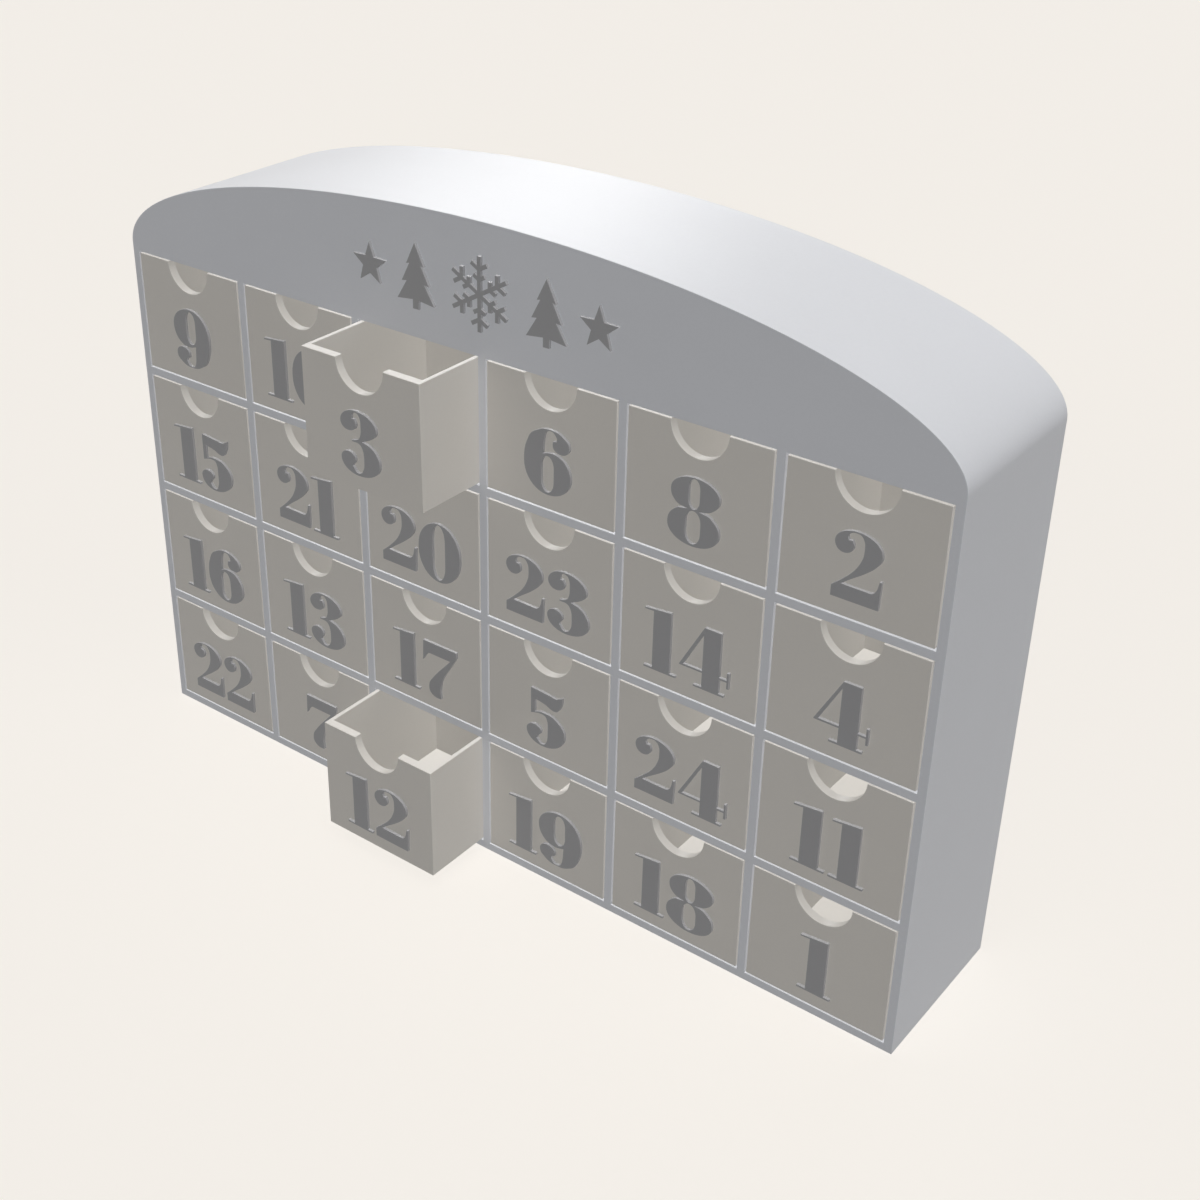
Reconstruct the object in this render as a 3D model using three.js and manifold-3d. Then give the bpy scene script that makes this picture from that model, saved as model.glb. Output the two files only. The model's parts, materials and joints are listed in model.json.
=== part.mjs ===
// Advent calendar cabinet: an arched carcass of thin boards that holds 24 numbered drawers.
// Lengths are in millimetres. X runs along the width, Y from the front to the back, Z upwards.
// The origin is the middle of the cabinet's underside, between its front and back edges.

import * as THREE from 'three';
import { mergeVertices } from 'three/addons/utils/BufferGeometryUtils.js';
import Module from 'manifold-3d';

const wasm = await Module();
wasm.setup();

// Openings that the drawers slide into
const columns = 6;
const openingWidth = 50;
const openingHeight = 44;

// Day numbers on the drawer fronts, as seen from the front, top row first
const dayRows = [
  [9, 10, 3, 6, 8, 2],
  [15, 21, 20, 23, 14, 4],
  [16, 13, 17, 5, 24, 11],
  [22, 7, 12, 19, 18, 1],
];

// Boards of the carcass
const bandThickness = 3;
const baseThickness = 3;
const shelfThickness = 3;
const dividerThickness = 3;
const ceilingThickness = 3;
const fasciaThickness = 3;
const backThickness = 3;
const archRise = 40;
const curvedFit = 0.3;

// Drawers
const drawerLength = 58;
const frontThickness = 3;
const trayWall = 1.5;
const trayFloor = 1.5;
const notchRadius = 9.8;
const sideClearance = 0.5;
const floorClearance = 0.5;
const topClearance = 0.5;
const rearClearance = 0.5;

// Drawers that stand open, and how far
const openDays = [3, 12];
const openBy = 26.5;

// Fineness of the curves
const archFacets = 72;
const notchFacets = 20;

// Sizes that follow from the ones above
const rows = dayRows.length;
const columnPitch = openingWidth + dividerThickness;
const rowPitch = openingHeight + shelfThickness;
const innerWidth = columns * columnPitch - dividerThickness;
const innerHeight = rows * rowPitch - shelfThickness;
const innerDepth = drawerLength + rearClearance;
const width = innerWidth + 2 * bandThickness;
const depth = innerDepth + backThickness;
const ceilingBottom = baseThickness + innerHeight;
const springHeight = ceilingBottom + ceilingThickness;
const lapDepth = innerDepth / 2;
const drawerWidth = openingWidth - 2 * sideClearance;
const drawerHeight = openingHeight - floorClearance - topClearance;

const cabinetPaint = { color: 0xe6e8ec, roughness: 0.55, metalness: 0 };
const drawerPaint = { color: 0xe2ded7, roughness: 0.6, metalness: 0 };

function piece(name, geometry, finish) {
  const mesh = new THREE.Mesh(geometry, new THREE.MeshStandardMaterial(finish));
  mesh.name = name;
  return mesh;
}

// Box between two opposite corners
function slab([x0, y0, z0], [x1, y1, z1]) {
  const box = new THREE.BoxGeometry(x1 - x0, y1 - y0, z1 - z0);
  return box.translate((x0 + x1) / 2, (y0 + y1) / 2, (z0 + z1) / 2);
}

// Board cut to an outline seen from above, from height z upwards
function boardFromAbove(outline, z, thickness) {
  const board = new THREE.ExtrudeGeometry(outline, { depth: thickness, bevelEnabled: false });
  return board.translate(0, 0, z);
}

// Board cut to an outline seen from the front, from y towards the back
function boardFromFront(outline, y, thickness, curveSegments = 12) {
  const cut = { depth: thickness, bevelEnabled: false, curveSegments };
  const board = new THREE.ExtrudeGeometry(outline, cut);
  const across = new THREE.Vector3(1, 0, 0);
  const up = new THREE.Vector3(0, 0, 1);
  const forwards = new THREE.Vector3(0, -1, 0);
  board.applyMatrix4(new THREE.Matrix4().makeBasis(across, up, forwards));
  return board.translate(0, y + thickness, 0);
}

// Board cut to an outline seen from the side, from x to the right
function boardFromSide(outline, x, thickness) {
  const board = new THREE.ExtrudeGeometry(outline, { depth: thickness, bevelEnabled: false });
  const back = new THREE.Vector3(0, 1, 0);
  const up = new THREE.Vector3(0, 0, 1);
  const across = new THREE.Vector3(1, 0, 0);
  board.applyMatrix4(new THREE.Matrix4().makeBasis(back, up, across));
  return board.translate(x, 0, 0);
}

// Closed solid of a geometry, for joins and cuts
function toSolid(geometry) {
  const bare = geometry.clone();
  bare.deleteAttribute('normal');
  bare.deleteAttribute('uv');
  const merged = mergeVertices(bare, 1e-4);
  const vertProperties = new Float32Array(merged.attributes.position.array);
  const triVerts = new Uint32Array(merged.index.array);
  return new wasm.Manifold(new wasm.Mesh({ numProp: 3, vertProperties, triVerts }));
}

function toGeometry(solid) {
  const { vertProperties, triVerts } = solid.getMesh();
  const geometry = new THREE.BufferGeometry();
  geometry.setAttribute('position', new THREE.BufferAttribute(vertProperties, 3));
  geometry.setIndex(new THREE.BufferAttribute(triVerts, 1));
  geometry.computeVertexNormals();
  return geometry;
}

// Points of the half-ellipse arch, moved in square to the curve, from right to left.
// They are spaced evenly by the angle that the curve faces, so the tight shoulders stay round.
function archPoints(inset) {
  const halfSpan = width / 2;
  const points = [];
  for (let step = 0; step <= archFacets; step += 1) {
    const facing = Math.PI * step / archFacets;
    const across = Math.cos(facing);
    const up = Math.sin(facing);
    const reach = Math.hypot(halfSpan * across, archRise * up);
    const x = halfSpan + across * (halfSpan ** 2 / reach - inset);
    const z = springHeight + up * (archRise ** 2 / reach - inset);
    points.push(new THREE.Vector2(x, z));
  }
  return points;
}

// Panel under the arch, from height z up, moved in from the outside all round
function archedOutline(inset, z) {
  const foot = [new THREE.Vector2(inset, z), new THREE.Vector2(width - inset, z)];
  return new THREE.Shape([...foot, ...archPoints(inset)]);
}

// Two sides and the bent top, in one band of even thickness
function bandGeometry() {
  const outer = archPoints(0);
  const inner = archPoints(bandThickness).reverse();
  const outline = new THREE.Shape([
    new THREE.Vector2(width, 0),
    ...outer,
    new THREE.Vector2(0, 0),
    new THREE.Vector2(bandThickness, 0),
    ...inner,
    new THREE.Vector2(width - bandThickness, 0),
  ]);
  return boardFromFront(outline, 0, depth);
}

// Fascia that fills the arch at the front, with the board over the top row behind it
function crownGeometry() {
  const outline = archedOutline(bandThickness + curvedFit, ceilingBottom);
  const fascia = toSolid(boardFromFront(outline, 0, fasciaThickness));
  const ceiling = toSolid(slab(
    [bandThickness, 0, ceilingBottom],
    [width - bandThickness, innerDepth, springHeight],
  ));
  return toGeometry(fascia.add(ceiling));
}

function baseGeometry() {
  return slab([bandThickness, 0, 0], [width - bandThickness, innerDepth, baseThickness]);
}

function backGeometry() {
  const outline = archedOutline(bandThickness + curvedFit, 0);
  return boardFromFront(outline, innerDepth, backThickness);
}

// Left edge of a divider, by its number from the left, starting at 1
function dividerLeft(number) {
  return bandThickness + number * columnPitch - dividerThickness;
}

// Underside of a shelf, by its number from the bottom, starting at 1
function shelfBottom(number) {
  return baseThickness + number * rowPitch - shelfThickness;
}

// Shelf with a slot from its back edge for each divider
function shelfGeometry(number) {
  const outline = new THREE.Shape();
  outline.moveTo(bandThickness, 0);
  outline.lineTo(width - bandThickness, 0);
  outline.lineTo(width - bandThickness, innerDepth);
  for (let slot = columns - 1; slot >= 1; slot -= 1) {
    const left = dividerLeft(slot);
    const right = left + dividerThickness;
    outline.lineTo(right, innerDepth);
    outline.lineTo(right, lapDepth);
    outline.lineTo(left, lapDepth);
    outline.lineTo(left, innerDepth);
  }
  outline.lineTo(bandThickness, innerDepth);
  return boardFromAbove(outline, shelfBottom(number), shelfThickness);
}

// Divider with a slot from its front edge for each shelf
function dividerGeometry(number) {
  const outline = new THREE.Shape();
  outline.moveTo(innerDepth, baseThickness);
  outline.lineTo(innerDepth, ceilingBottom);
  outline.lineTo(0, ceilingBottom);
  for (let slot = rows - 1; slot >= 1; slot -= 1) {
    const bottom = shelfBottom(slot);
    const top = bottom + shelfThickness;
    outline.lineTo(0, top);
    outline.lineTo(lapDepth, top);
    outline.lineTo(lapDepth, bottom);
    outline.lineTo(0, bottom);
  }
  outline.lineTo(0, baseThickness);
  return boardFromSide(outline, dividerLeft(number), dividerThickness);
}

function carcass() {
  const group = new THREE.Group();
  group.add(piece('side_and_arch_band', bandGeometry(), cabinetPaint));
  group.add(piece('base_board', baseGeometry(), cabinetPaint));
  group.add(piece('crown_fascia', crownGeometry(), cabinetPaint));
  group.add(piece('back_panel', backGeometry(), cabinetPaint));
  for (let number = 1; number < rows; number += 1) {
    group.add(piece(`shelf_${number}`, shelfGeometry(number), cabinetPaint));
  }
  for (let number = 1; number < columns; number += 1) {
    group.add(piece(`divider_${number}`, dividerGeometry(number), cabinetPaint));
  }
  return group;
}

// Drawer front with a half-round finger notch in the middle of its top edge
function frontGeometry() {
  const middle = drawerWidth / 2;
  const outline = new THREE.Shape();
  outline.moveTo(0, 0);
  outline.lineTo(drawerWidth, 0);
  outline.lineTo(drawerWidth, drawerHeight);
  outline.lineTo(middle + notchRadius, drawerHeight);
  outline.absarc(middle, drawerHeight, notchRadius, 0, Math.PI, true);
  outline.lineTo(0, drawerHeight);
  return boardFromFront(outline, 0, frontThickness, notchFacets);
}

// Tray behind the front: two sides, a back and a floor, open to the top and to the front
function trayGeometry() {
  const outside = toSolid(slab([0, frontThickness, 0], [drawerWidth, drawerLength, drawerHeight]));
  const hollow = toSolid(slab(
    [trayWall, frontThickness - trayWall, trayFloor],
    [drawerWidth - trayWall, drawerLength - trayWall, drawerHeight + trayWall],
  ));
  return toGeometry(outside.subtract(hollow));
}

function drawer(day) {
  const label = String(day).padStart(2, '0');
  const group = new THREE.Group();
  group.add(piece(`drawer_${label}_front`, frontGeometry(), drawerPaint));
  group.add(piece(`drawer_${label}_tray`, trayGeometry(), drawerPaint));
  return group;
}

function drawers() {
  const group = new THREE.Group();
  dayRows.forEach((days, fromTop) => {
    days.forEach((day, column) => {
      const box = drawer(day);
      const x = bandThickness + column * columnPitch + sideClearance;
      const y = openDays.includes(day) ? -openBy : 0;
      const z = baseThickness + (rows - 1 - fromTop) * rowPitch + floorClearance;
      box.position.set(x, y, z);
      group.add(box);
    });
  });
  return group;
}

const cabinet = new THREE.Group();
cabinet.add(carcass(), drawers());
cabinet.position.set(-width / 2, -depth / 2, 0);

export default cabinet;
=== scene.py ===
"""Advent calendar cabinet: its finished boards, drawers, raised figures and ornament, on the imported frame.

Lengths are in metres, in the frame's own axes: X along the width, Y from front to back, Z upwards.
Outlines of figures and ornament are drawn in millimetres.
"""
import json
import logging
import math
from collections.abc import Callable
from dataclasses import dataclass, field
from enum import Enum

import bmesh
import bpy
from mathutils import Matrix, Vector

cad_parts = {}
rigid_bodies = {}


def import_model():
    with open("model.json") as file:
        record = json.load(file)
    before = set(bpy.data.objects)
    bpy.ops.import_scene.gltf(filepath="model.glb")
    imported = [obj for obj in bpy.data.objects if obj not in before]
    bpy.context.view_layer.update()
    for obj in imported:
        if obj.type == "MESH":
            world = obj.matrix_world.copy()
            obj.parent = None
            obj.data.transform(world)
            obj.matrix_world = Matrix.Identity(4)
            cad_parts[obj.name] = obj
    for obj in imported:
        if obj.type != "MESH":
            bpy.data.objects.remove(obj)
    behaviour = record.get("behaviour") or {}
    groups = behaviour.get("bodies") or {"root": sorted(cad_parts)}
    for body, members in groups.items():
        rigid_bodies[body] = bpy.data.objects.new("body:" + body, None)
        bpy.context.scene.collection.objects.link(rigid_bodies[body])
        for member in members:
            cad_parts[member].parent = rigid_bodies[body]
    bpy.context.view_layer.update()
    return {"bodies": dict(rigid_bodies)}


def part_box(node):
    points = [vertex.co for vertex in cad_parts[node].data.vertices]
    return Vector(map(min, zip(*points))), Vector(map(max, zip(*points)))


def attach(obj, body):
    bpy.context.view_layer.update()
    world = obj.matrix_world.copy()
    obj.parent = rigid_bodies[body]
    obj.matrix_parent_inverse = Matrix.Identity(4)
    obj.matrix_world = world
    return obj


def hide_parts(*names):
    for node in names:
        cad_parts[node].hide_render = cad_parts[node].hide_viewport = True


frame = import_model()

LOG = logging.getLogger("cabinet")
MILLIMETRE = 0.001
SAME_PLACE = 1e-5
SAME_POINT = 1e-6


class Slot(Enum):
    """The record's material slots."""

    CABINET = "cabinet_paint"
    DRAWER = "drawer_paint"
    NUMBER = "number_paint"


class Axis(Enum):
    """An axis of the frame, as an index into a vector."""

    WIDTH = 0
    DEPTH = 1
    HEIGHT = 2


class Value:
    """A socket in a shader, on which arithmetic adds Math nodes."""

    def __init__(self, tree: bpy.types.NodeTree, socket: bpy.types.NodeSocket) -> None:
        """Keeps the socket and the tree that it is in."""
        self.tree = tree
        self.socket = socket

    def joined(self, operation: str, first: "Value | float", second: "Value | float") -> "Value":
        """A Math node on two values.

        Args:
            operation: The node's operation.
            first: The first number or socket.
            second: The second number or socket.

        Returns:
            The node's result.
        """
        node = self.tree.nodes.new("ShaderNodeMath")
        node.operation = operation
        for place, given in enumerate((first, second)):
            if isinstance(given, Value):
                self.tree.links.new(given.socket, node.inputs[place])
            else:
                node.inputs[place].default_value = given
        return Value(self.tree, node.outputs[0])

    def __add__(self, other: "Value | float") -> "Value":
        """This value plus another."""
        return self.joined("ADD", self, other)

    def __sub__(self, other: "Value | float") -> "Value":
        """This value less another."""
        return self.joined("SUBTRACT", self, other)

    def __mul__(self, other: "Value | float") -> "Value":
        """This value times another."""
        return self.joined("MULTIPLY", self, other)

    def __rsub__(self, other: float) -> "Value":
        """A number less this value."""
        return self.joined("SUBTRACT", other, self)

    __radd__ = __add__
    __rmul__ = __mul__


class Shader:
    """A material's or world's node tree, empty at first."""

    def __init__(self, owner: bpy.types.Material | bpy.types.World) -> None:
        """Clears the owner's nodes.

        Args:
            owner: The material or the world.
        """
        owner.use_nodes = True
        self.tree = owner.node_tree
        self.tree.nodes.clear()

    def node(self, kind: str, settings: dict[str, object] | None = None,
             **inputs: object) -> bpy.types.Node:
        """Adds a node, sets it up and fills its sockets.

        Args:
            kind: The node's type, without the word ShaderNode.
            settings: The node's own properties, set before its sockets.
            inputs: Values or links by socket name, with _ for a space.

        Returns:
            The new node.
        """
        made = self.tree.nodes.new("ShaderNode" + kind)
        for name, value in (settings or {}).items():
            setattr(made, name, value)
        for name, value in inputs.items():
            socket = next(s for s in made.inputs if s.enabled and s.name == name.replace("_", " "))
            if isinstance(value, Value):
                self.tree.links.new(value.socket, socket)
            else:
                socket.default_value = value
        return made

    def out(self, made: bpy.types.Node, name: str) -> Value:
        """An output of a node."""
        found = next(s for s in made.outputs if s.enabled and s.name == name)
        return Value(self.tree, found)


@dataclass(frozen=True)
class Paint:
    """Matt paint on smooth board: even in colour, with a fine roller stipple.

    The cloud is the slow drift of tone over a board, and the speckle the pigment's fine one.
    """

    slot: Slot
    colour: tuple[float, float, float]
    roughness: float = 0.45
    cloud_size: float = 0.045
    cloud_depth: float = 0.022
    speckle_size: float = 0.0011
    speckle_depth: float = 0.016
    stipple_size: float = 0.0009
    stipple_height: float = 0.000012
    ripple_size: float = 0.011
    ripple_height: float = 0.000035
    roughness_drift: float = 0.05
    slow_detail: float = 3.0
    fine_detail: float = 2.0
    ripple_detail: float = 1.0
    noise_roughness: float = 0.55

    def noise(self, shader: Shader, place: Value, size: float, detail: float) -> Value:
        """Soft noise from 0 to 1 whose lumps have a real size.

        Args:
            shader: The paint's node tree.
            place: Where the noise is read.
            size: The size of its lumps.
            detail: How many finer layers it has.

        Returns:
            The noise.
        """
        made = shader.node("TexNoise", {"noise_dimensions": "3D"}, Vector=place, Scale=1 / size,
                           Detail=detail, Roughness=self.noise_roughness)
        return shader.out(made, "Fac")

    def material(self) -> bpy.types.Material:
        """Makes the paint's material.

        Returns:
            The material, named after its slot.
        """
        made = bpy.data.materials.new(self.slot.value)
        shader = Shader(made)
        place = shader.out(shader.node("TexCoord"), "Object")
        cloud = self.noise(shader, place, self.cloud_size, self.slow_detail)
        speckle = self.noise(shader, place, self.speckle_size, self.fine_detail)
        stipple = self.noise(shader, place, self.stipple_size, self.fine_detail)
        ripple = self.noise(shader, place, self.ripple_size, self.ripple_detail)
        depth = self.cloud_depth + self.speckle_depth
        tone = (cloud * self.cloud_depth + speckle * self.speckle_depth) * (1 / depth)
        dark = [c * (1 - depth) for c in self.colour]
        light = [min(1.0, c * (1 + depth)) for c in self.colour]
        colour = shader.node("Mix", {"data_type": "RGBA"}, Factor=tone, A=(*dark, 1), B=(*light, 1))
        height = stipple * self.stipple_height + ripple * self.ripple_height
        bump = shader.node("Bump", Strength=1.0, Distance=1.0, Height=height)
        sheen = self.roughness + (cloud - 0.5) * self.roughness_drift
        surface = shader.node("BsdfPrincipled", Base_Color=shader.out(colour, "Result"),
                              Roughness=sheen, Normal=shader.out(bump, "Normal"))
        shader.node("OutputMaterial", Surface=shader.out(surface, "BSDF"))
        return made


CABINET_PAINT = Paint(Slot.CABINET, (0.785, 0.80, 0.838))
DRAWER_PAINT = Paint(Slot.DRAWER, (0.765, 0.733, 0.682), cloud_size=0.03)
NUMBER_PAINT = Paint(Slot.NUMBER, (0.388, 0.388, 0.398), cloud_size=0.012, ripple_size=0.006)


def added(name: str, data: bpy.types.ID) -> bpy.types.Object:
    """Makes an object in the scene.

    Args:
        name: Its name.
        data: Its mesh, curve, lamp or camera.

    Returns:
        The object.
    """
    made = bpy.data.objects.new(name, data)
    bpy.context.scene.collection.objects.link(made)
    return made


def runs(way: Vector, axis: Axis) -> bool:
    """Whether an edge's direction, one unit long, is mostly that of an axis."""
    return abs(way[axis.value]) > 0.5


class Form:
    """A mesh in the making, shaped by operators, which ends as one finished piece.

    Edges that turn by less than the first angle shade smooth, and only those that turn by more
    than the second are rounded off.
    """

    SMOOTH_UP_TO = math.radians(20)
    ROUNDED_FROM = math.radians(50)
    ROUNDING_SEGMENTS = 2

    def __init__(self) -> None:
        """Starts with nothing."""
        self.mesh = bmesh.new()

    def extrude(self, faces: list[bmesh.types.BMFace], way: Vector) -> list[bmesh.types.BMFace]:
        """Draws a loose sheet out into a solid, or part of a solid's surface further out.

        Args:
            faces: The faces to draw out.
            way: How far and in which direction.

        Returns:
            The faces at the far end.
        """
        # Faces drawn out of a solid would stay behind as a wall inside it, so they go.
        neighbours = {face for each in faces for edge in each.edges for face in edge.link_faces}
        drawn = bmesh.ops.extrude_face_region(self.mesh, geom=faces)["geom"]
        moved = [g for g in drawn if isinstance(g, bmesh.types.BMVert)]
        bmesh.ops.translate(self.mesh, vec=way, verts=moved)
        if not neighbours <= set(faces):
            bmesh.ops.delete(self.mesh, geom=faces, context="FACES")
        return [g for g in drawn if isinstance(g, bmesh.types.BMFace)]

    def plate(self, outline: list[Vector], way: Vector) -> list[bmesh.types.BMFace]:
        """A board cut to an outline.

        Args:
            outline: The corners of one face, in order.
            way: The board's thickness, from that face.

        Returns:
            The faces at the far end.
        """
        face = self.mesh.faces.new([self.mesh.verts.new(point) for point in outline])
        return self.extrude([face], way)

    def block(self, low: Vector, high: Vector) -> None:
        """A plain board.

        Args:
            low: Its lowest corner.
            high: The corner opposite.
        """
        made = bmesh.ops.create_cube(self.mesh, size=1.0)["verts"]
        bmesh.ops.scale(self.mesh, vec=high - low, verts=made)
        bmesh.ops.translate(self.mesh, vec=(low + high) / 2, verts=made)

    def cells(self, axes: tuple[Axis, Axis], lines: tuple[list[float], list[float]], level: float,
              kept: Callable[[int, int], bool]) -> dict[tuple[int, int], bmesh.types.BMFace]:
        """A flat sheet ruled into cells, with some of them cut out.

        Args:
            axes: The two axes that the sheet lies along.
            lines: The places of the ruled lines along each of those axes.
            level: The sheet's place on the third axis.
            kept: Says of a cell, by its two numbers, whether it stays.

        Returns:
            The cells that stay, by their two numbers.
        """
        # The operator's even grid is one unit wide, and its corners are then set on the lines.
        columns, rows = (len(run) - 1 for run in lines)
        half = 0.5
        bmesh.ops.create_grid(self.mesh, x_segments=columns, y_segments=rows, size=half)
        found = {}
        for face in self.mesh.faces:
            middle = face.calc_center_median()
            found[int((middle.x + half) * columns), int((middle.y + half) * rows)] = face
        for vert in self.mesh.verts:
            first = lines[0][round((vert.co.x + half) * columns)]
            second = lines[1][round((vert.co.y + half) * rows)]
            vert.co = Vector((level, level, level))
            vert.co[axes[0].value] = first
            vert.co[axes[1].value] = second
        cut = [face for number, face in found.items() if not kept(*number)]
        bmesh.ops.delete(self.mesh, geom=cut, context="FACES")
        return {number: face for number, face in found.items() if kept(*number)}

    def rule(self, axis: Axis, places: list[float]) -> None:
        """Rules lines round the form, without a cut through it.

        Args:
            axis: The axis that the lines lie square to.
            places: Their places on that axis.
        """
        square = Vector((0, 0, 0))
        square[axis.value] = 1
        for place in places:
            whole = [*self.mesh.verts, *self.mesh.edges, *self.mesh.faces]
            bmesh.ops.bisect_plane(self.mesh, geom=whole, dist=SAME_PLACE, plane_co=square * place,
                                   plane_no=square)

    def soften(self, width: float, chosen: Callable[[Vector, Vector], bool]) -> None:
        """Rounds off sharp outer edges.

        Args:
            width: How far the rounding reaches from the edge.
            chosen: Says of an edge, by its middle and its direction, whether it is rounded.
        """
        bmesh.ops.recalc_face_normals(self.mesh, faces=self.mesh.faces)
        edges = []
        for edge in self.mesh.edges:
            first, second = (vert.co for vert in edge.verts)
            if edge.is_convex and edge.calc_face_angle(0.0) > self.ROUNDED_FROM:
                if chosen((first + second) / 2, (second - first).normalized()):
                    edges.append(edge)
        bmesh.ops.bevel(self.mesh, geom=edges, offset=width, affect="EDGES", profile=0.5,
                        segments=self.ROUNDING_SEGMENTS, material=-1, clamp_overlap=True)

    def finish(self, name: str, body: str, slot: Slot, paint: bpy.types.Material,
               *stands_for: str) -> bpy.types.Object:
        """Turns the form into a piece of the object.

        Args:
            name: The piece's name.
            body: The body of the frame that it moves with.
            slot: The record's slot for its finish; not used.
            paint: Its material.
            stands_for: The nodes of the frame that it replaces.

        Returns:
            The piece.
        """
        bmesh.ops.remove_doubles(self.mesh, verts=self.mesh.verts, dist=SAME_POINT)
        bmesh.ops.recalc_face_normals(self.mesh, faces=self.mesh.faces)
        data = bpy.data.meshes.new(name)
        self.mesh.to_mesh(data)
        self.mesh.free()
        data.shade_smooth()
        data.set_sharp_from_angle(angle=self.SMOOTH_UP_TO)
        data.materials.append(paint)
        piece = added(name, data)
        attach(piece, body)
        if stands_for:
            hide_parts(*stands_for)
        LOG.info("%s: %d faces on %s", name, len(data.polygons), body)
        return piece


def same(first: float, second: float) -> bool:
    """Whether two places on an axis are one."""
    return abs(first - second) < SAME_PLACE


def between(place: float, stretches: list[tuple[float, float]]) -> bool:
    """Whether a place lies in one of several stretches."""
    return any(low < place < high for low, high in stretches)


@dataclass
class Carcass:
    """The fixed boards: band, base, crown with its ceiling, back, and the lapped shelves and dividers.

    The lists across and up hold the sides of the drawers' openings, in order.
    """

    paint: bpy.types.Material
    body: str = "carcass"
    shelves: int = 3
    dividers: int = 5
    arch_rise: float = 0.040
    arch_facets: int = 180
    rounding: float = 0.00015
    back_joint: float = 0.0001
    low: Vector = field(init=False)
    high: Vector = field(init=False)
    thickness: float = field(init=False)
    inner_back: float = field(init=False)
    spring: float = field(init=False)
    ceiling: float = field(init=False)
    shelf_boxes: list[tuple[Vector, Vector]] = field(init=False)
    divider_boxes: list[tuple[Vector, Vector]] = field(init=False)
    across: list[float] = field(init=False)
    up: list[float] = field(init=False)
    openings_across: list[tuple[float, float]] = field(init=False)
    openings_up: list[tuple[float, float]] = field(init=False)

    def __post_init__(self) -> None:
        """Takes the outer sizes from the frame."""
        self.low, self.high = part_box("side_and_arch_band")
        base_low, base_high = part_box("base_board")
        self.thickness = base_low.x - self.low.x
        self.inner_back = base_high.y
        self.spring = self.high.z - self.arch_rise
        crown_low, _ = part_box("crown_fascia")
        self.ceiling = crown_low.z
        self.shelf_boxes = [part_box(f"shelf_{n + 1}") for n in range(self.shelves)]
        self.divider_boxes = [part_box(f"divider_{n + 1}") for n in range(self.dividers)]
        across = [x for low, high in self.divider_boxes for x in (low.x, high.x)]
        up = [z for low, high in self.shelf_boxes for z in (low.z, high.z)]
        self.across = [base_low.x, *across, base_high.x]
        self.up = [base_high.z, *up, self.ceiling]
        self.openings_across = list(zip(self.across[::2], self.across[1::2]))
        self.openings_up = list(zip(self.up[::2], self.up[1::2]))

    def at_front(self, place: Vector) -> bool:
        """Whether a place is on the cabinet's front."""
        return same(place.y, self.low.y)

    def beside_opening(self, middle: Vector, way: Vector, axis: Axis) -> bool:
        """Whether an edge frames an opening for a drawer at the front.

        Args:
            middle: The edge's middle.
            way: Its direction.
            axis: The axis that it has to run along.

        Returns:
            Whether it does.
        """
        openings = self.openings_across if axis is Axis.WIDTH else self.openings_up
        return self.at_front(middle) and runs(way, axis) and between(middle[axis.value], openings)

    def depth_inside(self, place: Vector) -> float:
        """About how far a place lies inside the band's outer face, as seen from the front.

        Args:
            place: The place.

        Returns:
            The distance, which is close for places within the band's thickness.
        """
        rise = place.z - self.spring
        if rise < 0:
            return self.high.x - abs(place.x)
        across, up = place.x / self.high.x, rise / self.arch_rise
        steepness = 2 * math.hypot(across / self.high.x, up / self.arch_rise)
        return (1 - across ** 2 - up ** 2) / steepness

    def arch(self, inset: float) -> list[tuple[Vector, Vector]]:
        """The arch from right to left, spaced evenly by the angle that it faces.

        Args:
            inset: How far it lies inside the outer curve.

        Returns:
            Points on the cabinet's front, each with the direction that the curve faces there.
        """
        half_span = self.high.x
        points = []
        for step in range(self.arch_facets + 1):
            angle = math.pi * step / self.arch_facets
            facing = Vector((math.cos(angle), 0, math.sin(angle)))
            reach = math.hypot(half_span * facing.x, self.arch_rise * facing.z)
            x = facing.x * half_span ** 2 / reach
            z = self.spring + facing.z * self.arch_rise ** 2 / reach
            points.append((Vector((x, self.low.y, z)) - facing * inset, facing))
        return points

    def panel(self, inset: float, foot: float, front: float) -> list[Vector]:
        """Outline of a board that fills the arch.

        Args:
            inset: How far it lies inside the band's outer face.
            foot: The height of its lower edge.
            front: The place of its front face.

        Returns:
            The corners of its front face.
        """
        across = self.high.x - inset
        curve = [Vector((point.x, front, point.z)) for point, _ in self.arch(inset)]
        return [Vector((-across, front, foot)), Vector((across, front, foot)), *curve]

    def band(self) -> None:
        """Two sides and the bent top in one run of even thickness."""
        form = Form()
        right, left = Vector((1, 0, 0)), Vector((-1, 0, 0))
        heights = [self.low.z, *self.up]
        line = [(Vector((self.high.x, self.low.y, z)), right) for z in heights]
        line += self.arch(0.0)
        line += [(Vector((self.low.x, self.low.y, z)), left) for z in reversed(heights)]
        verts = [form.mesh.verts.new(point) for point, _ in line]
        facing = {vert: way for vert, (_, way) in zip(verts, line)}
        edges = [form.mesh.edges.new(pair) for pair in zip(verts, verts[1:])]
        drawn = bmesh.ops.extrude_edge_only(form.mesh, edges=edges)["geom"]
        # Each inner point is set off square to the outer curve, so the band is evenly thick.
        inner = {g for g in drawn if isinstance(g, bmesh.types.BMVert)}
        for vert in inner:
            outer = next(v for e in vert.link_edges for v in e.verts if v not in inner)
            vert.co -= facing[outer] * self.thickness
        form.extrude(list(form.mesh.faces), Vector((0, self.high.y - self.low.y, 0)))

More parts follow.
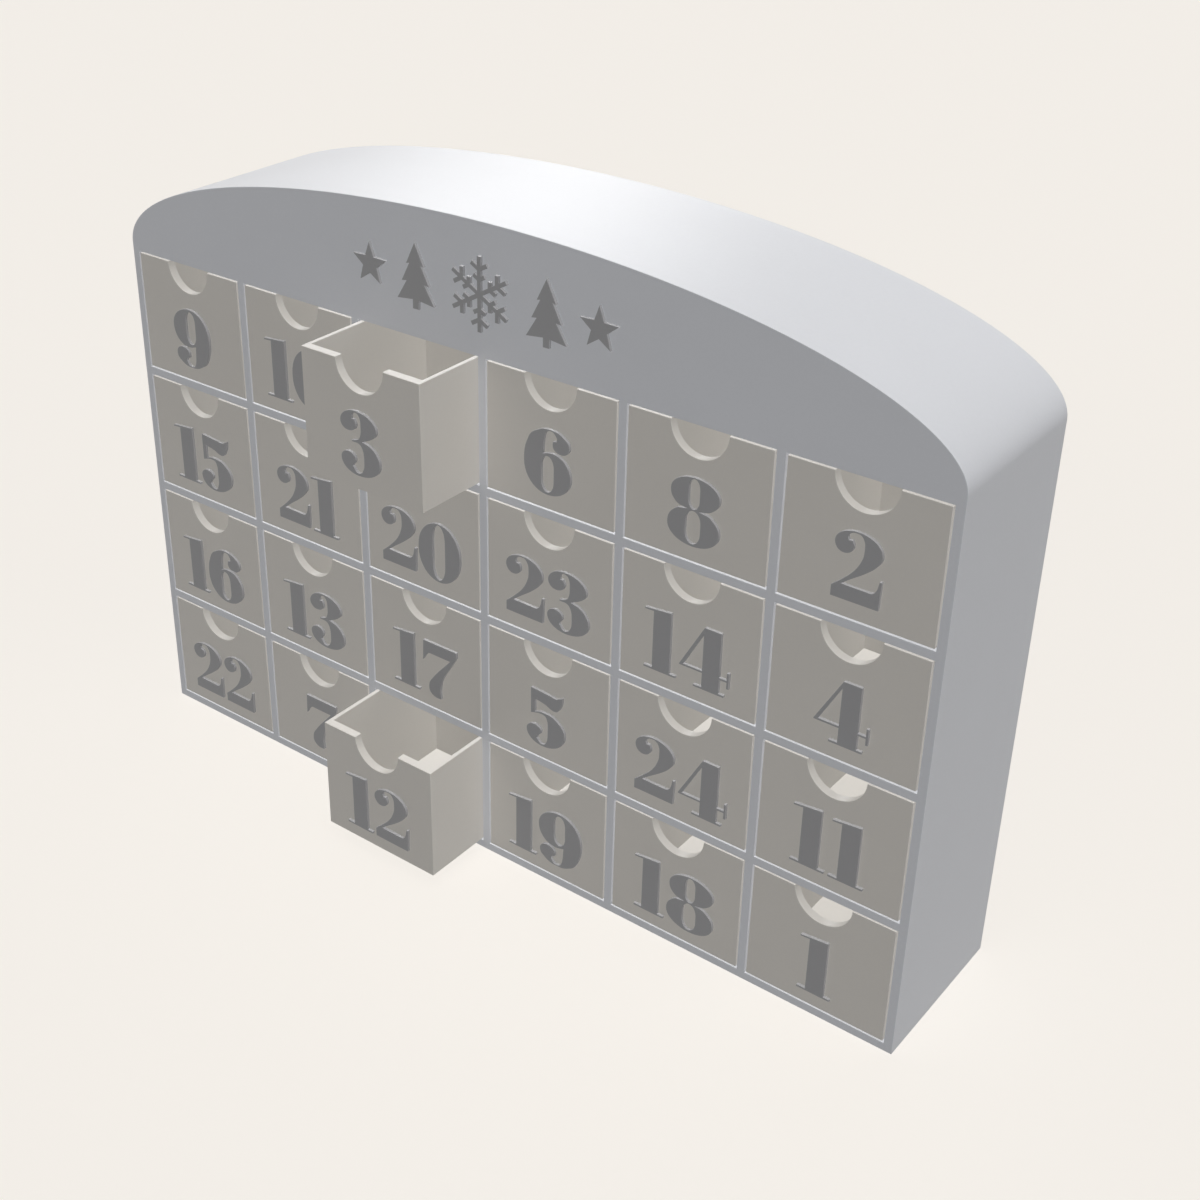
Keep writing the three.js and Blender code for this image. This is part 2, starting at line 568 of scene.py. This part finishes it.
        def rim(middle: Vector, way: Vector) -> bool:
            """Picks the outer rims, the back's joint, the feet and the rims beside the openings.

            Args:
                middle: An edge's middle.
                way: Its direction.

            Returns:
                Whether it is rounded.
            """
            inner = self.depth_inside(middle) > self.thickness / 2
            if middle.z < SAME_PLACE:
                return not inner or runs(way, Axis.WIDTH)
            if inner and self.at_front(middle):
                return between(middle.z, self.openings_up)
            return not runs(way, Axis.DEPTH)

        form.soften(self.rounding, rim)
        form.finish("bent_band", self.body, Slot.CABINET, self.paint, "side_and_arch_band")

    def base(self) -> None:
        """The board under the bottom row."""
        form = Form()
        low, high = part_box("base_board")
        form.block(low, high)
        form.rule(Axis.WIDTH, self.across[1:-1])
        form.soften(self.rounding, lambda middle, way: self.beside_opening(middle, way, Axis.WIDTH)
                    or (self.at_front(middle) and runs(way, Axis.WIDTH) and middle.z < SAME_PLACE))
        form.finish("base", self.body, Slot.CABINET, self.paint, "base_board")

    def crown(self) -> None:
        """The fascia that fills the arch, with the ceiling over the top row behind it."""
        form = Form()
        outline = self.panel(self.thickness, self.ceiling, self.low.y)
        form.plate(outline, Vector((0, self.thickness, 0)))
        form.rule(Axis.HEIGHT, [self.spring])
        form.rule(Axis.WIDTH, self.across[1:-1])
        # Below the spring of the arch, the fascia's back is drawn out as the ceiling.
        behind = self.low.y + self.thickness
        strip = [face for face in form.mesh.faces
                 if all(same(v.co.y, behind) and v.co.z < self.spring + SAME_PLACE
                        for v in face.verts)]
        form.extrude(strip, Vector((0, self.inner_back - behind, 0)))
        form.soften(self.rounding, lambda middle, way: self.beside_opening(middle, way, Axis.WIDTH)
                    and same(middle.z, self.ceiling))
        form.finish("fascia_and_ceiling", self.body, Slot.CABINET, self.paint, "crown_fascia")

    def back(self) -> None:
        """The board that closes the back, let into the band."""
        form = Form()
        outline = self.panel(self.thickness + self.back_joint, self.low.z, self.inner_back)
        form.plate(outline, Vector((0, self.high.y - self.inner_back, 0)))
        form.soften(self.rounding, lambda middle, way: same(middle.y, self.high.y))
        form.finish("back", self.body, Slot.CABINET, self.paint, "back_panel")

    def shelf(self, number: int) -> None:
        """A shelf with a slot from its back edge for each divider.

        Args:
            number: Its number from the bottom, from 0.
        """
        form = Form()
        low, high = self.shelf_boxes[number]
        lines = (self.across, [low.y, (low.y + high.y) / 2, high.y])
        found = form.cells((Axis.WIDTH, Axis.DEPTH), lines, low.z,
                           lambda column, row: column % 2 == 0 or row == 0)
        form.extrude(list(found.values()), Vector((0, 0, high.z - low.z)))
        form.soften(self.rounding, lambda middle, way: self.beside_opening(middle, way, Axis.WIDTH))
        form.finish(f"lapped_shelf_{number + 1}", self.body, Slot.CABINET, self.paint,
                    f"shelf_{number + 1}")

    def divider(self, number: int) -> None:
        """A divider with a slot from its front edge for each shelf.

        Args:
            number: Its number from the left, from 0.
        """
        form = Form()
        low, high = self.divider_boxes[number]
        lines = ([low.y, (low.y + high.y) / 2, high.y], self.up)
        found = form.cells((Axis.DEPTH, Axis.HEIGHT), lines, low.x,
                           lambda column, row: row % 2 == 0 or column == 1)
        form.extrude(list(found.values()), Vector((high.x - low.x, 0, 0)))
        form.soften(self.rounding, lambda middle, way: self.beside_opening(middle, way, Axis.HEIGHT))
        form.finish(f"lapped_divider_{number + 1}", self.body, Slot.CABINET, self.paint,
                    f"divider_{number + 1}")

    def build(self) -> None:
        """Builds every fixed board."""
        self.band()
        self.base()
        self.crown()
        self.back()
        for number in range(self.shelves):
            self.shelf(number)
        for number in range(self.dividers):
            self.divider(number)


class Pass(Enum):
    """The way that an outline passes one of its points."""

    CORNER = "corner"
    LEVEL = "level"
    UPRIGHT = "upright"
    FLOW = "flow"


@dataclass(frozen=True)
class Knot:
    """A point of an outline, in millimetres across and up, with the way that the line passes it."""

    x: float
    z: float
    way: Pass


def corners(*points: tuple[float, float]) -> list[Knot]:
    """Points where straight edges meet."""
    return [Knot(x, z, Pass.CORNER) for x, z in points]


def flows(*points: tuple[float, float]) -> list[Knot]:
    """Points that the line passes along a smooth curve."""
    return [Knot(x, z, Pass.FLOW) for x, z in points]


def level(x: float, z: float) -> list[Knot]:
    """A top or bottom of a round form, which the line passes level."""
    return [Knot(x, z, Pass.LEVEL)]


def upright(x: float, z: float) -> list[Knot]:
    """A left or right side of a round form, which the line passes upright."""
    return [Knot(x, z, Pass.UPRIGHT)]


def oval(left: float, right: float, bottom: float, top: float, straight: float) -> list[Knot]:
    """A closed round form between four sides.

    Args:
        left: Its left side.
        right: Its right side.
        bottom: Its lowest point.
        top: Its highest point.
        straight: The length of the straight stretch of its left and right sides.

    Returns:
        Its knots, in order.
    """
    middle, half = (left + right) / 2, (bottom + top) / 2
    above, below = half + straight / 2, half - straight / 2
    return [*upright(right, below), *upright(right, above), *level(middle, top),
            *upright(left, above), *upright(left, below), *level(middle, bottom)]


@dataclass(frozen=True)
class Figure:
    """A figure from 0 to 9: the width that it takes up, and its closed outlines."""

    advance: float
    outlines: tuple[list[Knot], ...]

    def turned(self, width: float, top: float) -> "Figure":
        """This figure turned upside down in a given width and height, as a nine is a six."""
        outlines = tuple([Knot(width - k.x, top - k.z, k.way) for k in line] for line in self.outlines)
        return Figure(width, outlines)


SIX = Figure(19.3, (
    [*upright(0.5, 9.4), *flows((2.2, 17.4), (4.8, 20.2)), *level(10.65, 21.9), *flows((16.1, 20.2)),
     *upright(17.8, 17.4), *level(14.7, 14.7), *upright(11.5, 17.0), *corners((11.6, 18.3), (13.0, 18.6)),
     *flows((13.0, 19.8)), *level(10.9, 21.5), *flows((8.6, 20.2)), *corners((7.7, 13.4)),
     *level(11.7, 14.15), *upright(18.4, 6.9), *level(9.65, -0.2)],
    oval(7.15, 12.0, 0.65, 12.9, 4.5),
))

FIGURES = {
    "0": Figure(19.7, (oval(0.35, 18.35, -0.2, 21.7, 1.0), oval(6.5, 11.95, 0.6, 21.2, 9.0))),
    "1": Figure(13.1, (
        corners((0.8, 0.0), (12.45, 0.0), (12.45, 0.7), (10.2, 0.7), (10.2, 21.9), (0.65, 21.0),
                (0.6, 20.4), (3.85, 20.6), (3.85, 0.7), (0.8, 0.7)),
    )),
    "2": Figure(17.2, (
        [*corners((1.2, 0.25), (1.2, 3.6)), *flows((4.1, 6.15), (7.6, 9.9), (9.6, 13.6)),
         *upright(10.2, 17.1), *flows((9.7, 20.1)), *level(7.9, 21.4), *flows((6.0, 21.1), (4.95, 19.9)),
         *corners((5.2, 18.7), (6.4, 18.8)), *upright(6.95, 17.0), *level(4.0, 14.5), *upright(1.1, 17.6),
         *level(7.9, 21.9), *upright(15.7, 16.6), *flows((14.3, 13.3), (11.1, 10.2), (6.9, 7.1)),
         *corners((4.1, 4.9)), *level(12.9, 4.8), *flows((14.7, 5.9)),
         *corners((15.6, 9.2), (16.25, 9.2), (15.95, 0.25))],
    )),
    "3": Figure(17.7, (
        [*level(7.6, 21.9), *upright(15.9, 16.9), *flows((14.35, 14.4)), *corners((9.85, 11.95)),
         *flows((13.1, 11.15), (15.6, 9.2)), *upright(16.95, 5.4), *level(7.9, -0.2),
         *upright(0.6, 4.65), *level(3.6, 7.3), *upright(6.6, 5.15), *corners((5.35, 2.7)),
         *level(7.6, 0.65), *flows((9.7, 2.0)), *upright(10.35, 6.0), *flows((9.8, 9.5), (8.4, 11.0)),
         *corners((5.45, 11.15), (5.45, 11.65)), *flows((7.85, 12.3), (9.0, 13.7)), *upright(9.4, 17.0),
         *flows((8.9, 20.3)), *level(7.2, 21.3), *flows((5.8, 20.4)), *corners((5.6, 18.8), (6.7, 18.9)),
         *upright(7.35, 17.0), *level(4.0, 14.6), *upright(0.85, 17.4)],
    )),
    "4": Figure(18.8, (
        corners((14.85, 21.55), (9.0, 21.55), (0.6, 6.05), (0.6, 5.7), (8.8, 5.7), (8.8, 0.7), (5.9, 0.7),
                (5.9, 0.0), (16.65, 0.0), (16.65, 0.7), (14.85, 0.7), (14.85, 5.7), (17.5, 5.7),
                (17.5, 3.5), (18.25, 3.5), (18.25, 9.0), (17.5, 9.0), (17.5, 6.4), (14.85, 6.4)),
        corners((2.0, 6.4), (8.8, 6.4), (8.8, 19.2)),
    )),
    "5": Figure(17.0, (
        [*corners((2.5, 11.4), (2.5, 21.4)), *flows((7.8, 21.0)), *corners((13.0, 20.5), (15.5, 21.8)),
         *flows((14.9, 18.2)), *level(12.4, 15.5), *flows((8.4, 16.7)), *corners((4.1, 17.5), (4.1, 12.3)),
         *level(7.6, 13.15), *flows((13.6, 11.6)), *upright(16.5, 6.6), *level(7.25, -0.2),
         *upright(0.75, 4.6), *level(3.9, 7.3), *upright(6.75, 5.3), *flows((5.3, 3.2)),
         *corners((4.9, 2.15)), *level(7.2, 0.5), *flows((9.0, 1.9)), *upright(9.55, 6.4),
         *flows((9.0, 11.4)), *level(6.9, 12.4), *flows((4.9, 12.1))],
    )),
    "6": SIX,
    "7": Figure(16.5, (
        [*corners((1.3, 13.4), (1.6, 21.45), (16.45, 21.45), (16.45, 19.15)),
         *flows((13.4, 14.1), (10.2, 8.6), (9.0, 4.2)), *corners((9.2, -0.1)), *level(7.5, -0.2),
         *upright(3.8, 2.9), *flows((5.6, 7.5)), *corners((13.6, 17.0)), *level(4.7, 17.0),
         *flows((2.6, 15.5))],
    )),
    "8": Figure(18.9, (
        [*level(9.6, 21.9), *upright(18.0, 16.9), *flows((15.6, 12.9)), *corners((11.4, 11.55)),
         *flows((15.3, 10.6)), *upright(18.35, 5.6), *level(9.5, -0.2), *upright(0.55, 5.5),
         *flows((3.0, 10.4)), *corners((7.2, 11.55)), *flows((3.4, 12.6)), *upright(1.35, 16.7)],
        oval(7.45, 11.3, 11.8, 21.5, 3.5),
        oval(6.7, 11.95, 0.6, 11.3, 3.0),
    )),
    "9": SIX.turned(19.0, 21.7),
}


@dataclass
class Relief:
    """A flat raised form with closed outlines, which stands proud of an upright face.

    Its root is sunk into that face. Fullness is the share of the way to the next knot that the
    handle of a round form's top, bottom or side reaches.
    """

    outlines: tuple[list[Knot], ...]
    height: float = 0.0010
    root: float = 0.0003
    rounding: float = 0.00008
    rounding_steps: int = 1
    fullness: float = 0.56
    steps: int = 10

    def handle(self, knot: Knot, other: Knot, before: Knot, after: Knot) -> tuple[float, float]:
        """The Bezier handle of a knot on its side towards another.

        Args:
            knot: The knot.
            other: Its neighbour on that side.
            before: The knot before it.
            after: The knot after it.

        Returns:
            The handle's place, across and up.
        """
        across, up = other.x - knot.x, other.z - knot.z
        if knot.way is Pass.LEVEL:
            return knot.x + across * self.fullness, knot.z
        if knot.way is Pass.UPRIGHT:
            return knot.x, knot.z + up * self.fullness
        if knot.way is Pass.CORNER:
            return knot.x + across / 3, knot.z + up / 3
        run, rise = after.x - before.x, after.z - before.z
        reach = math.hypot(across, up) / 3 / math.hypot(run, rise)
        side = 1 if other is after else -1
        return knot.x + side * run * reach, knot.z + side * rise * reach

    def kind(self, knot: Knot, other: Knot) -> str:
        """The type of a knot's handle, which keeps the stretch between two corners straight."""
        return "VECTOR" if knot.way is other.way is Pass.CORNER else "FREE"

    def curve(self) -> bpy.types.Curve:
        """Draws the outlines.

        Returns:
            One filled curve of the relief's full thickness, in metres.
        """
        made = bpy.data.curves.new("relief", "CURVE")
        made.dimensions = "2D"
        made.fill_mode = "BOTH"
        made.resolution_u = self.steps
        made.bevel_depth = self.rounding
        made.bevel_resolution = self.rounding_steps
        made.offset = -self.rounding
        made.extrude = (self.height + self.root) / 2 - self.rounding
        for line in self.outlines:
            spline = made.splines.new("BEZIER")
            spline.use_cyclic_u = True
            spline.bezier_points.add(len(line) - 1)
            for number, (knot, point) in enumerate(zip(line, spline.bezier_points)):
                before, after = line[number - 1], line[(number + 1) % len(line)]
                left = self.handle(knot, before, before, after)
                right = self.handle(knot, after, before, after)
                point.handle_left_type = self.kind(knot, before)
                point.handle_right_type = self.kind(knot, after)
                point.co = Vector((knot.x, knot.z, 0)) * MILLIMETRE
                point.handle_left = Vector((*left, 0)) * MILLIMETRE
                point.handle_right = Vector((*right, 0)) * MILLIMETRE
        return made

    def build(self, name: str, body: str, paint: bpy.types.Material, place: Vector) -> None:
        """Cuts the form out and sets it on its face.

        Args:
            name: The piece's name.
            body: The body of the frame that it moves with.
            paint: Its material.
            place: Where the drawing's origin comes to lie, on the face.
        """
        drawn = added(name + "_drawing", self.curve())
        flat = bpy.data.meshes.new_from_object(drawn.evaluated_get(bpy.context.evaluated_depsgraph_get()))
        form = Form()
        form.mesh.from_mesh(flat)
        bpy.data.objects.remove(drawn)
        bpy.data.meshes.remove(flat)
        stood_up = Matrix.Rotation(math.radians(90), 4, "X")
        middle = place + Vector((0, (self.root - self.height) / 2, 0))
        bmesh.ops.transform(form.mesh, matrix=Matrix.Translation(middle) @ stood_up,
                            verts=form.mesh.verts)
        form.finish(name, body, Slot.NUMBER, paint)


@dataclass
class Drawer:
    """One drawer: its notched front, its tray and the raised figures of its day.

    The front reaches from its corner low to joint, and the tray from tray_low to high.
    """

    day: int
    paint: bpy.types.Material
    figure_paint: bpy.types.Material
    notch_radius: float = 0.0098
    notch_facets: int = 48
    wall: float = 0.0015
    floor: float = 0.0015
    rounding: float = 0.00016
    figures_up: float = 0.0056
    label: str = field(init=False)
    low: Vector = field(init=False)
    joint: Vector = field(init=False)
    tray_low: Vector = field(init=False)
    high: Vector = field(init=False)
    middle: float = field(init=False)

    def __post_init__(self) -> None:
        """Takes the drawer's sizes from the frame."""
        self.label = f"drawer_{self.day:02d}"
        self.low, self.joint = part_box(f"{self.label}_front")
        self.tray_low, self.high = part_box(f"{self.label}_tray")
        self.middle = (self.low.x + self.high.x) / 2

    def at_side(self, place: Vector) -> bool:
        """Whether a place is on the drawer's left or right outside."""
        return same(place.x, self.low.x) or same(place.x, self.high.x)

    def front(self) -> None:
        """The front board, with a half-round finger notch in its top edge."""
        form = Form()
        low, high = self.low, self.joint
        outline = [Vector((low.x, low.y, low.z)), Vector((high.x, low.y, low.z)),
                   Vector((high.x, low.y, high.z))]
        for step in range(self.notch_facets + 1):
            angle = -math.pi * step / self.notch_facets
            x = self.middle + self.notch_radius * math.cos(angle)
            z = high.z + self.notch_radius * math.sin(angle)
            outline.append(Vector((x, low.y, z)))
        outline.append(Vector((low.x, low.y, high.z)))
        form.plate(outline, Vector((0, high.y - low.y, 0)))

        def rim(middle: Vector, way: Vector) -> bool:
            """Picks the front's own rim, the outside edges and the notch's inner rim.

            Args:
                middle: An edge's middle.
                way: Its direction.

            Returns:
                Whether it is rounded.
            """
            if same(middle.y, low.y):
                return True
            if runs(way, Axis.DEPTH):
                return self.at_side(middle)
            reach = (Vector((middle.x, 0, middle.z)) - Vector((self.middle, 0, high.z))).length
            return reach < self.notch_radius + SAME_PLACE and middle.z < high.z - SAME_PLACE

        form.soften(self.rounding, rim)
        form.finish(f"front_{self.day}", self.label, Slot.DRAWER, self.paint, f"{self.label}_front")

    def tray(self) -> None:
        """Two sides, a back and a floor behind the front."""
        form = Form()
        low, high = self.tray_low, self.high
        lines = ([low.x, low.x + self.wall, high.x - self.wall, high.x],
                 [low.y, high.y - self.wall, high.y])
        found = form.cells((Axis.WIDTH, Axis.DEPTH), lines, low.z, lambda column, row: True)
        tops = form.extrude(list(found.values()), Vector((0, 0, self.floor)))
        walls = []
        for face in tops:
            centre = face.calc_center_median()
            if not (lines[0][1] < centre.x < lines[0][2] and centre.y < lines[1][1]):
                walls.append(face)
        form.extrude(walls, Vector((0, 0, high.z - low.z - self.floor)))
        # The edges that meet the front board stay sharp.
        form.soften(self.rounding, lambda middle, way: not same(middle.y, low.y))
        form.finish(f"tray_{self.day}", self.label, Slot.DRAWER, self.paint, f"{self.label}_tray")

    def figures(self) -> None:
        """The raised figures of the day, set side by side in the middle of the front."""
        text = str(self.day)
        width = sum(FIGURES[sign].advance for sign in text) * MILLIMETRE
        place = Vector((self.middle - width / 2, self.low.y, self.low.z + self.figures_up))
        for number, sign in enumerate(text):
            figure = FIGURES[sign]
            Relief(figure.outlines).build(f"figure_{self.day}_{number + 1}", self.label,
                                          self.figure_paint, place)
            place = place + Vector((figure.advance * MILLIMETRE, 0, 0))

    def build(self) -> None:
        """Builds the whole drawer."""
        self.front()
        self.tray()
        self.figures()


@dataclass
class Ornament:
    """Raised winter motifs in a row on the fascia: a snowflake between two firs and two stars."""

    paint: bpy.types.Material
    body: str = "carcass"
    middle_up: float = 0.2085
    fir_across: float = 0.0255
    star_across: float = 0.0445
    flake_arms: int = 6
    flake_radius: float = 12.0
    flake_half_arm: float = 0.7
    twigs: tuple[tuple[float, float], ...] = ((4.7, 2.5), (7.9, 3.5))
    star_points: int = 5
    star_radius: float = 7.2
    star_waist: float = 3.0
    fir_top: float = 10.8
    fir_side: tuple[tuple[float, float], ...] = (
        (3.6, 3.6), (2.3, 3.9), (5.6, -2.3), (3.6, -2.0), (7.6, -8.4), (1.2, -7.6), (1.2, -10.6))

    def turned(self, points: list[tuple[float, float]], angle: float) -> list[tuple[float, float]]:
        """Points turned clockwise round the origin."""
        cosine, sine = math.cos(angle), math.sin(angle)
        return [(x * cosine + z * sine, z * cosine - x * sine) for x, z in points]

    def snowflake(self) -> list[Knot]:
        """Arms with pairs of twigs at 60 degrees.

        Returns:
            The outline.
        """
        half = self.flake_half_arm
        root_three = math.sqrt(3)
        side = [(half, half / math.tan(math.pi / self.flake_arms))]
        for start, length in self.twigs:
            out, up = length * root_three / 2, length / 2
            side += [(half, start - half / root_three),
                     (out + half / 2, start + up - half * root_three / 2),
                     (out - half / 2, start + up + half * root_three / 2),
                     (half, start + half * root_three)]
        side.append((half, self.flake_radius))
        points = []
        other_side = [(-x, z) for x, z in side[1:]]
        for arm in range(self.flake_arms):
            points += self.turned([*other_side, *reversed(side)], math.tau * arm / self.flake_arms)
        return corners(*points)

    def star(self) -> list[Knot]:
        """A star with one point up.

        Returns:
            The outline.
        """
        points = []
        for step in range(2 * self.star_points):
            reach = self.star_waist if step % 2 else self.star_radius
            points += self.turned([(0, reach)], math.pi * step / self.star_points)
        return corners(*points)

    def fir(self) -> list[Knot]:
        """Three tiers of boughs on a short trunk."""
        other_side = [(-x, z) for x, z in reversed(self.fir_side)]
        return corners((0, self.fir_top), *self.fir_side, *other_side)

    def build(self) -> None:
        """Sets the motifs on the fascia."""
        low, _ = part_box("crown_fascia")
        motifs = [
            ("snowflake", self.snowflake(), 0.0),
            ("left_fir", self.fir(), -self.fir_across),
            ("right_fir", self.fir(), self.fir_across),
            ("left_star", self.star(), -self.star_across),
            ("right_star", self.star(), self.star_across),
        ]
        for name, outline, across in motifs:
            place = Vector((across, low.y, self.middle_up))
            Relief((outline,)).build(name, self.body, self.paint, place)


def seen_from(azimuth: float, elevation: float) -> Vector:
    """The direction towards a viewpoint, given in degrees round from the front and up."""
    around, up = math.radians(azimuth), math.radians(elevation)
    return Vector((math.sin(around) * math.cos(up), -math.cos(around) * math.cos(up), math.sin(up)))


def look_from(viewer: bpy.types.Object, back: Vector) -> None:
    """Turns a lamp or a camera so that a direction lies straight behind it."""
    viewer.rotation_mode = "QUATERNION"
    viewer.rotation_quaternion = (-back).to_track_quat("-Z", "Y")


@dataclass(frozen=True)
class Lamp:
    """A distant soft lamp that throws no shadow.

    It shines from an azimuth and an elevation, which are in degrees, as its width is. Its light
    bounces between boards at most a given number of times.
    """

    name: str
    azimuth: float
    elevation: float
    strength: float
    width: float
    bounces: int = 0

    def build(self) -> None:
        """Hangs the lamp."""
        data = bpy.data.lights.new(self.name, "SUN")
        data.energy = self.strength
        data.angle = math.radians(self.width)
        data.use_shadow = False
        data.cycles.max_bounces = self.bounces
        look_from(added(self.name, data), seen_from(self.azimuth, self.elevation))


@dataclass
class Studio:
    """Floor, backdrop, lamps and camera.

    The floor is as bright as the backdrop. The lamps give a share of that, at floor_light for a
    white floor, and the rest glows. The camera's nearest share is of its distance to its aim.
    """

    backdrop: tuple[float, float, float] = (0.905, 0.867, 0.815)
    surround: tuple[float, float, float] = (0.042, 0.042, 0.0435)
    floor_size: float = 12.0
    floor_share: float = 0.5
    floor_light: float = 0.805
    lamps: tuple[Lamp, ...] = (
        Lamp("overhead", 90.0, 84.0, 1.335, 20.0),
        Lamp("front", 0.0, 15.0, 0.865, 40.0, 1),
        Lamp("right", 90.0, 15.0, 0.985, 40.0, 2),
        Lamp("left", 270.0, 15.0, 0.38, 40.0, 1),
        Lamp("back", 180.0, 15.0, 0.3, 40.0),
        Lamp("below", 0.0, -88.0, 0.18, 40.0, 1),
        Lamp("gloss", 219.4, 26.5, 0.67, 18.0),
    )
    azimuth: float = 38.68
    elevation: float = 28.62
    aim: Vector = field(default_factory=lambda: Vector((-0.00492, -0.00754, 0.11035)))
    distance: float = 0.59185
    sensor: float = 36.0
    lens: float = 52.747
    shift: tuple[float, float] = (0.0695, -0.0434)
    nearest_share: float = 0.01

    def direct(self, shader: Shader) -> Value:
        """Finds where the backdrop shows straight, in gloss or through glass.

        Args:
            shader: The node tree that asks.

        Returns:
            1 there, and 0 where the backdrop would light other things.
        """
        path = shader.node("LightPath")
        straight = shader.out(path, "Is Camera Ray") + shader.out(path, "Is Glossy Ray")
        return straight + shader.out(path, "Is Transmission Ray")

    def world(self) -> None:
        """A pale backdrop for the camera, and an even grey surround that lights the cabinet."""
        made = bpy.data.worlds.new("studio")
        bpy.context.scene.world = made
        shader = Shader(made)
        colour = shader.node("Mix", {"data_type": "RGBA"}, Factor=self.direct(shader),
                             A=(*self.surround, 1), B=(*self.backdrop, 1))
        light = shader.node("Background", Color=shader.out(colour, "Result"), Strength=1.0)
        shader.node("OutputWorld", Surface=shader.out(light, "Background"))

    def floor(self) -> None:
        """A plain pale floor, which the cabinet shades a little from the surround."""
        mesh = bmesh.new()
        bmesh.ops.create_grid(mesh, x_segments=1, y_segments=1, size=self.floor_size / 2)
        data = bpy.data.meshes.new("floor")
        mesh.to_mesh(data)
        mesh.free()
        made = bpy.data.materials.new("floor")
        shader = Shader(made)
        share = self.floor_share
        diffuse = shader.node("BsdfDiffuse", Color=(*(c * share for c in self.backdrop), 1))
        glow = shader.node("Emission", Color=(*self.backdrop, 1),
                           Strength=self.direct(shader) * (1 - share * self.floor_light))
        # The two inputs share a name, so they are linked by their numbers.
        both = shader.node("AddShader")
        shader.tree.links.new(diffuse.outputs[0], both.inputs[0])
        shader.tree.links.new(glow.outputs[0], both.inputs[1])
        shader.node("OutputMaterial", Surface=Value(shader.tree, both.outputs[0]))
        data.materials.append(made)
        floor = added("floor", data)
        floor.visible_diffuse = False

    def camera(self) -> None:
        """The photograph's view, cropped off centre."""
        data = bpy.data.cameras.new("camera")
        data.sensor_width = self.sensor
        data.lens = self.lens
        data.shift_x, data.shift_y = self.shift
        data.clip_start = self.distance * self.nearest_share
        eye = added("camera", data)
        back = seen_from(self.azimuth, self.elevation)
        eye.location = self.aim + back * self.distance
        look_from(eye, back)
        bpy.context.scene.camera = eye

    def build(self) -> None:
        """Sets the studio up."""
        bpy.context.scene.view_settings.view_transform = "Standard"
        self.camera()
        self.world()
        self.floor()
        for lamp in self.lamps:
            lamp.build()


def main() -> None:
    """Builds the studio and every piece of the cabinet."""
    logging.basicConfig(level=logging.INFO, format="%(name)s: %(message)s")
    Studio().build()
    cabinet = CABINET_PAINT.material()
    drawer = DRAWER_PAINT.material()
    number = NUMBER_PAINT.material()
    Carcass(cabinet).build()
    drawers = len(frame["bodies"]) - 1
    for day in range(1, drawers + 1):
        Drawer(day, drawer, number).build()
    Ornament(number).build()


if __name__ == "__main__":
    main()
